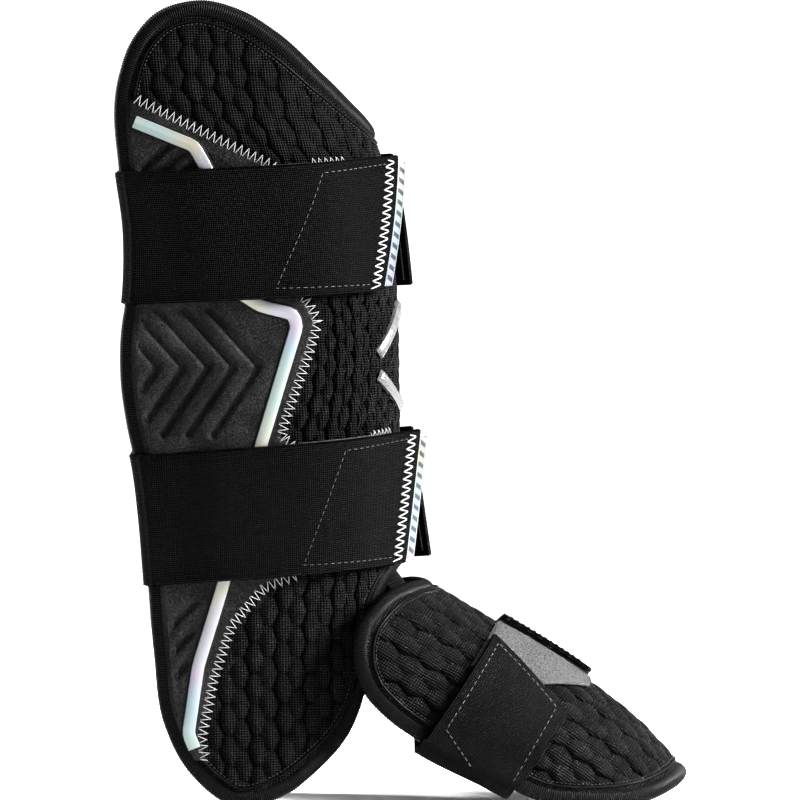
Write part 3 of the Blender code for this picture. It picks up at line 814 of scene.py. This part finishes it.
def on_side(lines, side, rise):
    """Points of a side view's lines (X, Z) on the leg wall."""
    x, z = lines[..., 0], lines[..., 1]
    return raised(leg_surface, side_to_wall(x, z) * side, z, rise)


def side_strip(name, side, offsets, rises, paint, nodes=()):
    """A thin strip along the stripe's route on one side panel."""
    lines = ribbon(round_corners(STRIPE, 2.6), offsets, STRIPE_STEP)
    flat = pairs(np.arange(lines.shape[1])[None] * STRIPE_STEP, offsets[:, None])
    points = on_side(lines, side, np.array(rises)[:, None])
    place(grid_piece(name, points, flat, paint, (0, -side, 0)), "leg_guard", "pearl_film", nodes)


def stripe(flank, side):
    """The pearly stripe and the wider dark backing that shows along its edges."""
    half = STRIPE_WIDTH / 2
    face = half * np.array([-1, -1, -0.86, 0, 0.86, 1, 1])
    rises = [0.1, 0.95, 1.25, 1.35, 1.25, 0.95, 0.1]
    side_strip(f"pearl_stripe_{flank}", side, face, rises, PEARL, [f"stripe_{flank}"])
    back = np.array([-half - 1.0, -half - 0.8, 0, half + 0.8, half + 1.0])
    side_strip(f"stripe_backing_{flank}", side, back, [0.2, 0.62, 0.62, 0.62, 0.2], INK)


def binding(guard):
    """The ribbed tape round a guard's edge, with its fold line and its stitches."""
    name, body = f"{guard}_binding", f"{guard}_guard"
    surface, edge, _, _ = GUARDS[guard]
    length = 2 * distances(surface(*edge_path(edge, BINDING_RADIUS, 600).T))[-1]
    half = edge_path(edge, BINDING_RADIUS, int(length / TAPE_RIB) * 2 + 1)
    loop = np.vstack([half, half[-2:0:-1] * MIRROR])
    inward = square_to(np.roll(loop, -1, axis=0) - np.roll(loop, 1, axis=0))
    inward = inward * (-1 if guard == "leg" else 1)
    turn = np.linspace(0, 2 * math.pi, TAPE_SIDES, endpoint=False)[None]
    waves = (np.cos(turn), np.sin(turn))
    across, height = (np.sign(wave) * np.abs(wave) ** TAPE_FLATNESS for wave in waves)
    row = np.arange(len(loop))[:, None]
    reach = BINDING_RADIUS - 0.15 + 0.26 * np.cos(math.pi / 2 * row)
    at = loop[:, None] - inward[:, None] * (across * reach)[..., None]
    rise = -BINDING_DEPTH + height * (reach + 0.35)
    points = raised(surface, at[..., 0], at[..., 1], rise)
    points[..., 2] = np.maximum(points[..., 2], 0)
    flat = pairs(row * TAPE_RIB / 4, turn * BINDING_RADIUS)
    facing = points - points.mean(axis=1, keepdims=True)
    piece = grid_piece(f"{name}_ribbed", points, flat, TAPE, facing, closed=True)
    place(piece, body, "edge_tape", [f"{guard}_edge_binding"])
    loop = np.vstack([loop, loop[:1]])
    inward = np.vstack([inward, inward[:1]])
    fold = loop + inward * (BINDING_RADIUS + FOLD_INSET)
    fold = raised(surface, *fold.T, -FOLD_RADIUS)
    thread(f"{name}_fold", [even(fold, 900)], FOLD_RADIUS, CORD, body, "edge_tape")
    runs = dashes(loop + inward * (BINDING_RADIUS + EDGE_STITCH_INSET), 1.2, 1.0)
    lines = [raised(surface, *run.T[:2], run[:, 2] - 0.7) for run in runs]
    thread(f"{name}_stitches", lines, THIN_STITCH, GREY_THREAD, body, "edge_tape")


def lining(guard, across, up):
    """Padding inside a wall, with shallow channels down it."""
    grid = full_grid(guard, LINER_INSET, across, up)
    channel = 0.8 * np.exp(-(((np.mod(np.abs(grid[..., 0]) + 15, 30) - 15) / 1.6) ** 2))
    depth, thickness = channel - LINER[1], LINER[1] - LINER[0] - 1.0
    name, node = f"{guard}_lining", f"{guard}_inner_liner"
    layer(name, guard, grid, depth, LINING, thickness, "lining", node, 0.8, facing=-1)


def badges():
    """The open diamond on the front: four bars, a little domed."""
    side_q, side_z = BADGE_SIDE
    ends = {
        "upper": ((BADGE_FRONT, BADGE_TOP - 4), (side_q, side_z + 5)),
        "lower": ((side_q, side_z - 5), (BADGE_FRONT, BADGE_BOTTOM + 4)),
    }
    offsets = BADGE_WIDTH / 2 * np.array([-1, -1, -0.45, 0.45, 1, 1])
    rises = np.array([-1.0, 0.9, 2.2, 2.2, 0.9, -1.0])
    for name, line in ends.items():
        lines = ribbon(line, offsets, 0.8)
        row = np.arange(lines.shape[1])
        taper = np.minimum(1.0, 0.1 + row / 1.5)
        rise = rises[:, None] * np.minimum(taper, taper[::-1]) - 0.1
        for flank, side in SIDES:
            points = raised(leg_surface, lines[..., 0] * side, lines[..., 1], rise)
            flat = pairs(row * 2.0, offsets[:, None])
            piece = grid_piece(f"badge_bar_{name}_{flank}", points, flat, BADGE, (1, -side, 0))
            piece.data.set_sharp_from_angle(angle=math.radians(12))
            place(piece, "leg_guard", "badge_plastic", [f"front_badge_{name}_{flank}"])


def seam_stitches():
    line = crossing(zigzag(np.array(SEAM, float), *SEAM_ZIGZAG), 0.9)
    for flank, side in SIDES:
        points = on_side(line, side, 0.55 + line[:, 2])
        name = f"seam_zigzag_{flank}"
        thread(name, [points], THIN_STITCH, WHITE_THREAD, "leg_guard", "panel_foam")


# ---- leg straps


def strap_side(q, z, rise, lift):
    """Points of a strap on the wall, and straight off it in front of `lift`."""
    q, z, rise = spread(q, z, rise)
    side = np.where(q < 0, -1.0, 1.0)
    on = raised(leg_surface, side * np.maximum(np.abs(q), lift), z, rise)
    ahead = on - raised(leg_surface, side * (lift + 0.5), z, rise)
    size = np.linalg.norm(ahead, axis=-1, keepdims=True)
    off = np.maximum(lift - np.abs(q), 0)[..., None]
    return on + np.where(off > 0, ahead / np.maximum(size, 1e-9), 0) * off


def strap_z(strap, q, across):
    ends = (strap["front_z"], strap["rear_z"])
    return np.interp(np.abs(q), (0, STRAP_REAR_Q), ends) + across * HALF_STRAP


def strap_end(strap, flank, across):
    """The way round the wall to a strap's free end, which is cut at a slant."""
    top, bottom = strap[f"{flank}_end"]
    return bottom + (top - bottom) * (across + 1) / 2


def tab_rise(q):
    return BAND_RISE + (TAB_RISE - BAND_RISE) * smooth(0.0, 30.0, PEEL_AT - np.abs(q))


def selvedge(across, width):
    """Small ribs along both woven edges of a strap."""
    inside = (1 - np.abs(across)) * width / 2
    return 0.14 * np.cos(inside * 2 * math.pi / 1.5) * (1 - smooth(5.0, 6.5, inside))


def strap_across(width):
    return np.linspace(-1, 1, int(width / 0.55))


def leg_tab(name, strap, flank, side):
    across = strap_across(STRAP_WIDTH)[:, None]
    end = strap_end(strap, flank, across)
    q = end + (PEEL_AT - end) * np.linspace(0, 1, 76)[None]
    rise = tab_rise(q) + STRAP_THICKNESS + selvedge(across, STRAP_WIDTH)
    points = strap_side(q * side, strap_z(strap, q, across), rise, strap["lift"])
    flat = pairs(q, across * HALF_STRAP)
    body = f"{name}_strap_{flank}_end"
    piece = grid_piece(f"{name}_strap_{flank}_woven", points, flat, ELASTIC, (0, -side, 0))
    peel = (strap_side(q * side, strap["rear_z"], 1.0, 0) for q in (PEEL_AT, PEEL_AT - PEEL_BEND))
    thicken(piece, STRAP_THICKNESS)
    node = f"{name}_strap_{flank}_tab"
    bending(piece, node, peel)
    tab_stitches(name, strap, flank, side, body)
    if flank == "near":
        label(name, strap, body)


def bending(piece, node, ends):
    """Hide the CAD node of a strip of cloth that bends between two bodies, and bake the strip's transform.
    """
    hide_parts(node)
    start, end = (tuple(point * MM) for point in ends)
    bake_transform(piece)


def on_tab(strap, side, line, rise):
    """Points on a strap end from (distance behind its end, place across)."""
    across = line[:, 1]
    q = strap_end(strap, "near" if side > 0 else "far", across) + line[:, 0]
    rise = tab_rise(q) + STRAP_THICKNESS + rise
    return strap_side(q * side, strap_z(strap, q, across), rise, strap["lift"])


def tab_stitches(name, strap, flank, side, body):
    """The zigzag at the end of a strap and the dashed outline of the hook patch under it."""
    to_mm = np.array([1, HALF_STRAP, 1])
    bar = [(5.6, -0.97), (5.6, 0.97)] * to_mm[:2]
    bar = crossing(zigzag(bar, *END_ZIGZAG), ZIGZAG_DIP) / to_mm
    points = on_tab(strap, side, bar, 0.25 + bar[:, 2])
    thread(f"{name}_{flank}_end_zigzag", [points], 0.42, WHITE_THREAD, body)
    outline = [(8.5, 0.9), (47, 0.86), (57, -0.86), (8.5, -0.9)] * to_mm[:2]
    runs = [run / to_mm for run in dashes(outline, 1.7, 1.5)]
    lines = [on_tab(strap, side, run, 0.12 + run[:, 2]) for run in runs]
    thread(f"{name}_{flank}_patch_stitches", lines, 0.2, PALE_THREAD, body)


def label(name, strap, body):
    """A folded pearly tab that stands out of the near end of a strap."""
    across = np.linspace(-0.95, 0.9, 60)
    fold = even(np.array(LABEL_FOLD), 17)
    points = np.array([on_tab(strap, 1, pairs(reach, across), lift * 0.75 - 1.0) for reach, lift in fold])
    flat = pairs(across[None] * HALF_STRAP, np.linspace(0, 11.0, len(fold))[:, None])
    facing = points - points.mean(axis=0, keepdims=True)
    piece = grid_piece(f"{name}_pull_label", points, flat, LABEL, facing)
    place(piece, body, "pearl_film", [f"{name}_strap_label"])


def leg_band(name, strap):
    """The elastic across the open back, from one peel line to the other."""
    across = strap_across(STRAP_WIDTH)
    z_backs = strap["rear_z"] + across * HALF_STRAP
    rows = []
    for a, z_back, q_end in zip(across, z_backs, edge_at(z_backs, LEG_EDGE, BINDING_RADIUS, 140, 30, 375)):
        rise = BAND_RISE + STRAP_THICKNESS + selvedge(a, STRAP_WIDTH)
        q = np.linspace(PEEL_AT - 0.2, q_end, 12)
        side = strap_side(q, strap_z(strap, q, a), rise, 0)
        centre = raised(leg_surface, q_end, z_back, -BINDING_DEPTH)
        start = side[-1] - centre
        begin = math.atan2(start[1], start[0])
        turns = np.linspace(begin, -math.pi, 14)[1:, None]
        reach = np.linalg.norm(start) - BAND_SNUG * smooth(begin, -math.pi / 2 - 0.6, turns)
        arc = centre + reach * np.hstack([np.cos(turns), np.sin(turns), 0 * turns])
        rows.append(both_halves(side, arc))
    points = np.array(rows)
    out = (points - LEG_AXIS) * [1, 1, 0]
    band(f"{name}_band_woven", points, PEEL_AT, across * HALF_STRAP, out, f"{name}_strap_band", "leg")


def both_halves(side, arc):
    """A line along a side, over its edge, straight across, and the same mirrored."""
    middle = arc[-1] * [1, 0, 1]
    half = np.vstack([side, arc, arc[-1] + (middle - arc[-1]) * np.linspace(0, 1, 24)[1:, None]])
    return np.vstack([half, half[-2::-1] * [1, -1, 1]])


def band(name, points, first, across, out, node, guard):
    """Elastic between two peel lines, measured along its middle line."""
    along = distances(points[len(points) // 2])
    piece = grid_piece(name, points, pairs(first + along, across[:, None]), ELASTIC, out)
    thicken(piece, STRAP_THICKNESS)
    place(piece, f"{guard}_guard", "strap_elastic", [node])


def loop_patch(name, surface, a, b, body, node):
    """Loop pile: a soft uneven skin and short fibres standing on it."""
    rng = np.random.default_rng(abs(len(name) * 7 + int(a.size)))
    noise = rng.normal(0, 1, a.shape)
    row, column = np.indices(a.shape)
    rim = np.minimum.reduce([row, a.shape[0] - 1 - row, column, a.shape[1] - 1 - column])
    top = PATCH_RISE * smooth(-0.5, 2.0, rim) + 0.09 * noise
    out = outward(surface, a, b)
    points = surface(a, b) + out * top[..., None]
    place(grid_piece(name, points, pairs(a, b), PILE, out), body, "loop_pile", [node])
    roots = rng.integers(1, a.shape[0] - 1, FIBRES), rng.integers(1, a.shape[1] - 1, FIBRES)
    leans = rng.normal(0, 0.55, (FIBRES, 3))
    fibres = [
        np.array([root, root + up * 0.45 + lean * 0.4, root + up * 0.6 + lean * 1.2])
        for root, up, lean in zip(points[roots], out[roots], leans)
    ]
    thread(f"{name}_fibres", fibres, 0.055, PILE, body, "loop_pile")


def leg_patch(name, strap, flank, side):
    """The loop patch under a strap end, with the short zigzag above it."""
    across = np.linspace(-0.97, 1.03, 56)
    q = np.linspace(30.0, 82.0, 46)[:, None]
    q, z = spread(q * side, strap_z(strap, q, across))
    order = slice(None, None, side)
    node = f"{name}_loop_patch_{flank}"
    loop_patch(f"{name}_landing_{flank}", leg_surface, q[:, order], z[:, order], "leg_guard", node)
    begin, finish = strap["landing"]
    line = crossing(zigzag(np.array([(begin, 0.0), (finish, 0.0)]), *LANDING_ZIGZAG), ZIGZAG_DIP)
    z = strap_z(strap, line[:, 0], 1.03) + line[:, 1]
    points = raised(leg_surface, line[:, 0] * side, z, 0.5 + line[:, 2])
    name = f"{name}_landing_zigzag_{flank}"
    thread(name, [points], THIN_STITCH, WHITE_THREAD, "leg_guard", "loop_pile")


# ---- instep guard


def foot_pad():
    grid = full_grid("foot", PAD_INSET, 78, 140)
    cells = grid / FOOT_CELL
    pad("foot", grid, cells, quilted("foot", grid, cells, FOOT_CELL_DEPTH))


def foot_end(flank, t):
    return np.interp(t, FOOT_STRAP_T, FOOT_STRAP_END[flank])


def foot_strap():
    t_low, t_high = FOOT_STRAP_T
    middle, width = (t_low + t_high) / 2, t_high - t_low
    across = strap_across(width)
    t = middle + across * width / 2
    for flank, side in SIDES:
        body = f"foot_strap_{flank}_end"
        end = foot_end(flank, t)[:, None]
        p, tt = spread(end + (FOOT_PEEL_AT - end) * np.linspace(0, 1, 50)[None], t[:, None])
        rise = TAB_RISE + STRAP_THICKNESS + selvedge(across, width)[:, None]
        points, out = raised(foot_surface, p * side, tt, rise), outward(foot_surface, p * side, tt)
        piece = grid_piece(f"foot_strap_{flank}_woven", points, pairs(p, tt), ELASTIC, out)
        peel = (FOOT_PEEL_AT, FOOT_PEEL_AT - FOOT_PEEL_BEND)
        peel = (raised(foot_surface, p * side, middle, 2.0) for p in peel)
        thicken(piece, STRAP_THICKNESS)
        bending(piece, f"foot_strap_{flank}_tab", peel)
        foot_stitches(flank, side, body)
    foot_band(across, t, width)


def foot_stitches(flank, side, body):
    """The outline of the hook patch under a foot strap, on its end and along the band."""
    t_low, t_high = FOOT_STRAP_T
    tip_low = (foot_end(flank, t_low + 3.5) + 3.5, t_low + 3.5)
    tip_high = (foot_end(flank, t_high - 6.5) + 2.5, t_high - 6.5)
    on_end = [(79.5, t_low + 4.8), tip_low, tip_high, (79.5, t_high - 4.6)]
    lines = [(on_end, body)]
    if flank == "near":
        lines.append(([(80.6, t_low + 4.9), (84, t_low + 5.3), (94.5, 68.0)], "foot_guard"))
        lines.append(([(80.6, t_high - 4.5), (91.0, t_high - 3.8)], "foot_guard"))
    rise = TAB_RISE + STRAP_THICKNESS + 0.12
    for k, (line, rides) in enumerate(lines):
        runs = dashes(np.array(line, float), 1.8, 1.5)
        points = [raised(foot_surface, run[:, 0] * side, run[:, 1], rise + run[:, 2]) for run in runs]
        thread(f"foot_{flank}_patch_stitches_{k}", points, 0.26, PALE_THREAD, rides)


def foot_band(across, t, width):
    """The elastic under the sole, from one peel line to the other."""
    down = np.array([-math.sin(FOOT_SLOPE), 0, -math.cos(FOOT_SLOPE)])
    turns = np.linspace(0, math.pi / 2, 12)[1:, None]
    rows = []
    for a, at, p_end in zip(across, t, edge_at(t, FOOT_EDGE, BINDING_RADIUS, 85, 5, 105)):
        rise = TAB_RISE + STRAP_THICKNESS + selvedge(a, width)
        side = raised(foot_surface, np.linspace(FOOT_PEEL_AT - 0.2, p_end, 10), at, rise)
        centre = raised(foot_surface, p_end, at, -BINDING_DEPTH)
        arc = centre + (BINDING_DEPTH + rise) * ([0, -1, 0] * np.cos(turns) + down * np.sin(turns))
        rows.append(both_halves(side, arc))
    points = np.array(rows)
    out = points - points[len(points) // 2].mean(axis=0)
    band("foot_band_woven", points, 0.0, t, out, "foot_strap_band", "foot")


def foot_patch():
    share, t = np.meshgrid(np.linspace(-1, 1, 96), np.linspace(39, 95, 62), indexing="ij")
    p = share * np.interp(t, [39, 66, 73, 85, 95], [50, 48, 39, 27, 16])
    loop_patch("foot_landing", foot_surface, p, t, "foot_guard", "foot_loop_patch")


def ankle_hinge():
    """The fabric that joins the instep guard to the leg guard, inside both walls."""
    across = np.linspace(-1, 1, 40) * CONNECTOR_Q
    places = ((leg_surface, 138.0, -12.8), (leg_surface, 116.0, -12.8), (foot_surface, 14.0, -12.6))
    top, knee, toe = (raised(surface, across, at, rise) for surface, at, rise in places)
    share = np.linspace(0, 1, 40)[:, None, None]
    points = (1 - share) ** 2 * top + 2 * share * (1 - share) * knee + share**2 * toe
    flat = pairs(across, np.linspace(0, 48, 40)[:, None])
    piece = grid_piece("ankle_hinge_fabric", points, flat, ELASTIC, (1, 0, 0))
    thicken(piece, 1.6, side=0)
    bending(piece, "ankle_connector", np.array(HINGE_BEND))


def keep_nodes():
    """CAD pieces whose shape is right: the hidden shells and the hook patches."""
    for name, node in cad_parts.items():
        for ending, paint in (("hard_shell", SHELL), ("_hook", HOOK)):
            if name.endswith(ending):
                node.data.materials.clear()
                node.data.materials.append(paint)


# ---- stage


def area_light(name, place_at, aim, size, power):
    data = bpy.data.lights.new(name, "AREA")
    data.shape = "RECTANGLE"
    data.size, data.size_y = size
    data.energy = power
    lamp = link(bpy.data.objects.new(name, data))
    lamp.location = place_at
    lamp.rotation_euler = (Vector(aim) - Vector(place_at)).to_track_quat("-Z", "Y").to_euler()
    return lamp


def floor():
    mesh = bpy.data.meshes.new("floor")
    corners = [(-FLOOR, -FLOOR, 0), (FLOOR, -FLOOR, 0), (FLOOR, FLOOR, 0), (-FLOOR, FLOOR, 0)]
    mesh.from_pydata(corners, [], [(0, 1, 2, 3)])
    mesh.materials.append(Paint("pale_floor", grey(0.86), 0.9).material)
    plane = link(bpy.data.objects.new("floor", mesh))
    plane.location.z = -0.0004


def sky():
    """A world that is pale low down and dark above."""
    world = bpy.data.worlds.new("studio")
    world.use_nodes = True
    tree = world.node_tree
    place_at = tree.nodes.new("ShaderNodeTexCoord").outputs["Generated"]
    split = tree.nodes.new("ShaderNodeSeparateXYZ")
    ramp = tree.nodes.new("ShaderNodeValToRGB")
    for element, at, level in zip(ramp.color_ramp.elements, (0.18, 0.4), (1, 0.12)):
        element.position = at
        element.color = (level, level, level, 1)
    tree.links.new(place_at, split.inputs[0])
    tree.links.new(split.outputs[2], ramp.inputs[0])
    tree.links.new(ramp.outputs[0], tree.nodes["Background"].inputs["Color"])
    bpy.context.scene.world = world


def stage():
    floor()
    sky()
    centre = (0, 0, 0.2)
    area_light("key", (1.75, -0.75, 1.15), centre, (0.35, 0.6), 270)
    area_light("top", (0.2, 0, 2.4), centre, (1.0, 1.0), 48)
    area_light("rim", (-1.2, 0.5, 1.0), centre, (0.4, 1.0), 35)
    area_light("fill", (-0.7, -1.4, 0.6), centre, (0.8, 0.8), 8)
    toe = area_light("toe", (1.3, -0.3, 0.6), (0.115, 0, 0.03), (0.12, 0.12), 1.3)
    toe.data.spread = math.radians(20)
    camera = link(bpy.data.objects.new("camera", bpy.data.cameras.new("camera")))
    camera.data.lens = 450
    camera.data.sensor_width = 36
    tilt = math.radians(2.5)
    camera.location = (0, -CAMERA_AWAY * math.cos(tilt), centre[2] + CAMERA_AWAY * math.sin(tilt))
    camera.rotation_euler = (math.pi / 2 - tilt, 0, 0)
    scene = bpy.context.scene
    scene.camera = camera
    scene.view_settings.view_transform = "Standard"
    scene.view_settings.look = "High Contrast"


def main():
    leg_pad()
    binding("leg")
    lining("leg", 60, 110)
    for flank, side in SIDES:
        side_panel(flank, side)
        stripe(flank, side)
    seam_stitches()
    badges()
    for name, strap in STRAPS.items():
        leg_band(name, strap)
        for flank, side in SIDES:
            leg_tab(name, strap, flank, side)
            leg_patch(name, strap, flank, side)
    foot_pad()
    binding("foot")
    lining("foot", 40, 60)
    foot_patch()
    foot_strap()
    ankle_hinge()
    keep_nodes()
    stage()


main()
